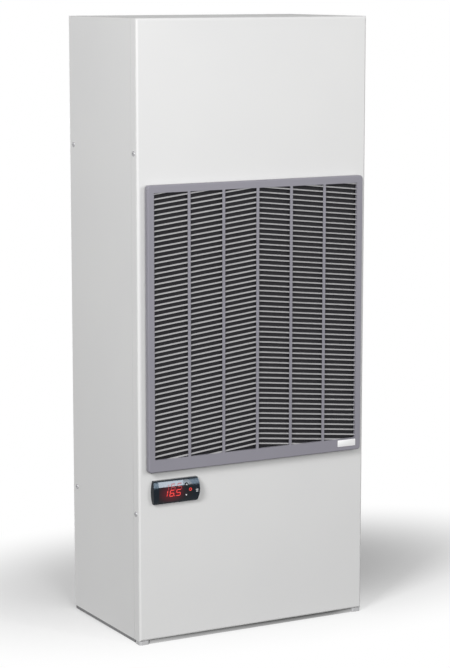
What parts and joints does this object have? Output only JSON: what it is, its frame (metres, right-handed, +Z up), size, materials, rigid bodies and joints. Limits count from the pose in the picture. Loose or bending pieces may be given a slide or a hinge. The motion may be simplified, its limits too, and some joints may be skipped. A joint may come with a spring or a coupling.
{
  "type": "enclosure air conditioner",
  "caption": "Slim upright enclosure air conditioner: folded sheet cabinet with a chevron louvre grille, a thermostat below it, and a rear sealed to a control cabinet.",
  "frame": {"origin": "on the floor, under the middle of the outer box", "axes": "+X to the viewer's right, +Y from the front to the back, +Z up"},
  "size_m": [0.4032, 0.255, 0.956],
  "materials": {
    "cabinet_paint": "light grey fine-textured powder coat",
    "foot_plastic": "light grey moulded plastic",
    "rail_paint": "grey enamel",
    "seal_foam": "black closed-cell foam",
    "zinc_steel": "bright zinc plating",
    "black_rubber": "black moulded rubber",
    "grille_plastic": "grey moulded plastic",
    "filter_fleece": "dark open filter fleece",
    "galvanised_sheet": "galvanised sheet",
    "coil_aluminium": "mill-finish aluminium",
    "copper_tube": "drawn copper",
    "line_insulation": "black foam sleeve",
    "fan_plastic": "black glass-filled plastic",
    "shaft_steel": "ground steel",
    "motor_paint": "dark grey enamel",
    "compressor_paint": "black enamel",
    "pressure_steel": "plated steel",
    "tray_plastic": "grey moulded plastic",
    "electric_plastic": "grey flame-proof plastic",
    "terminal_plastic": "cream terminal moulding",
    "capacitor_can": "drawn aluminium can",
    "thermostat_plastic": "black moulded plastic",
    "thermostat_window": "polished dark window",
    "button_plastic": "black key caps"
  },
  "bodies": {
    "cabinet": {"front_cover": "cabinet_paint", "left_side_panel": "cabinet_paint", "right_side_panel": "cabinet_paint", "top_panel": "cabinet_paint", "base_pan": "cabinet_paint", "corner_feet": "foot_plastic", "base_rails": "rail_paint", "rear_plate": "cabinet_paint", "rear_seal": "seal_foam", "mounting_inserts": "zinc_steel", "cable_grommet": "black_rubber", "panel_screws": "zinc_steel", "condenser_shroud": "galvanised_sheet", "condenser_core": "coil_aluminium", "condenser_headers": "coil_aluminium", "condenser_brackets": "galvanised_sheet", "condenser_fan_motor": "motor_paint", "condenser_motor_bracket": "galvanised_sheet", "partition_wall": "galvanised_sheet", "chamber_shelf": "galvanised_sheet", "chamber_floor": "galvanised_sheet", "condensate_tray": "tray_plastic", "drain_hose": "black_rubber", "drain_fitting": "tray_plastic", "evaporator_fins": "coil_aluminium", "evaporator_end_plates": "galvanised_sheet", "evaporator_return_bends": "copper_tube", "evaporator_inlet_ring": "galvanised_sheet", "evaporator_fan_motor": "motor_paint", "evaporator_motor_bracket": "galvanised_sheet", "compressor_grommets": "black_rubber", "compressor_base_plate": "compressor_paint", "compressor_shell": "compressor_paint", "compressor_terminal_cover": "electric_plastic", "suction_accumulator": "compressor_paint", "discharge_line": "copper_tube", "liquid_line": "copper_tube", "filter_drier": "copper_tube", "capillary_tube": "copper_tube", "suction_line": "line_insulation", "pressure_switch": "pressure_steel", "electrical_box": "electric_plastic", "electrical_box_lid": "electric_plastic", "terminal_strip": "terminal_plastic", "run_capacitor": "capacitor_can", "thermostat_bezel": "thermostat_plastic", "thermostat_lens": "thermostat_window", "thermostat_case": "thermostat_plastic", "thermostat_clips": "thermostat_plastic"},
    "grille": {"grille": "grille_plastic", "grille_gasket": "seal_foam", "grille_studs": "grille_plastic", "filter_mat": "filter_fleece"},
    "condenser_fan": {"condenser_fan_rotor": "fan_plastic", "condenser_fan_shaft": "shaft_steel"},
    "evaporator_fan": {"evaporator_impeller": "fan_plastic", "evaporator_fan_shaft": "shaft_steel"},
    "up_button": {"thermostat_up_button": "button_plastic"},
    "set_button": {"thermostat_set_button": "button_plastic"},
    "down_button": {"thermostat_down_button": "button_plastic"}
  },
  "joints": [
    {"name": "grille_pull_off", "type": "slide", "parent": "cabinet", "child": "grille", "axis": [0, -1, 0], "range_m": [0, 0.06]},
    {"name": "condenser_fan_spin", "type": "hinge", "parent": "cabinet", "child": "condenser_fan", "pos_m": [0, -0.0658, 0.49075], "axis": [0, 1, 0], "continuous": true},
    {"name": "evaporator_fan_spin", "type": "hinge", "parent": "cabinet", "child": "evaporator_fan", "pos_m": [0, 0.055, 0.83575], "axis": [0, 1, 0], "continuous": true},
    {"name": "up_button_press", "type": "slide", "parent": "cabinet", "child": "up_button", "axis": [0, 1, 0], "range_m": [0, 0.0008], "stiffness_N_per_m": 400, "springref_m": -0.0005},
    {"name": "set_button_press", "type": "slide", "parent": "cabinet", "child": "set_button", "axis": [0, 1, 0], "range_m": [0, 0.0008], "stiffness_N_per_m": 400, "springref_m": -0.0005},
    {"name": "down_button_press", "type": "slide", "parent": "cabinet", "child": "down_button", "axis": [0, 1, 0], "range_m": [0, 0.0008], "stiffness_N_per_m": 400, "springref_m": -0.0005}
  ]
}
